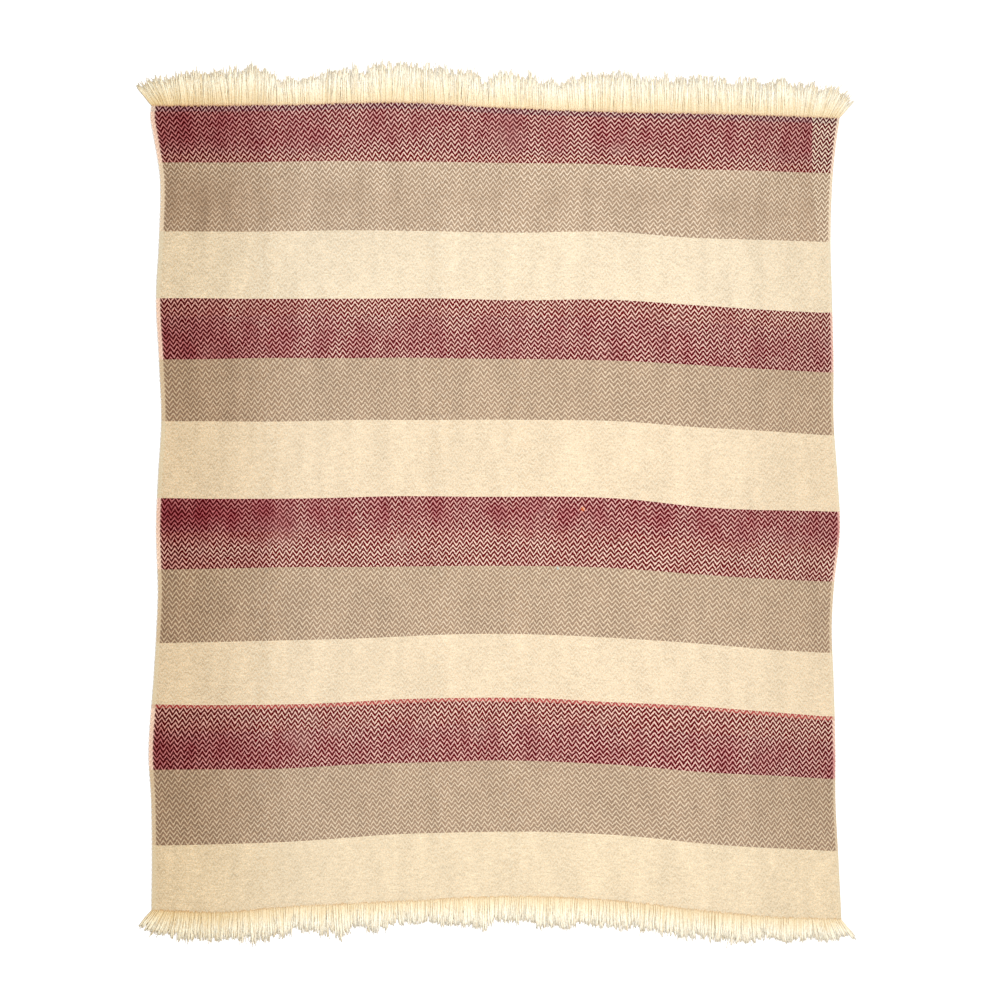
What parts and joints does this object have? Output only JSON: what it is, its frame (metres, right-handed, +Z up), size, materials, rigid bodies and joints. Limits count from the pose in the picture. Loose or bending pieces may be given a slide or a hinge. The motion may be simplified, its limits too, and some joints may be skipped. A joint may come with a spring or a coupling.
{
  "type": "wool bedspread",
  "caption": "Hand-woven wool bedspread laid flat, with crimson, taupe and cream bands in a zigzag twill and a cream warp fringe along its top and bottom edges.",
  "frame": {"origin": "on the surface that the bedspread lies on, under the middle of the cloth", "axes": "+Z up out of the face, +Y along the warp towards the picture's top fringe, +X across the bands towards the picture's right selvedge"},
  "size_m": [1.917, 2.3559, 0.0068],
  "materials": {
    "woven_wool": "matt hand-spun wool, zigzag point twill with crimson, taupe and cream weft on a cream warp",
    "warp_ends": "matt cream wool yarn, loose cut ends"
  },
  "bodies": {
    "root": {"cloth": "woven_wool", "fringe_top": "warp_ends", "fringe_bottom": "warp_ends"}
  },
  "joints": []
}
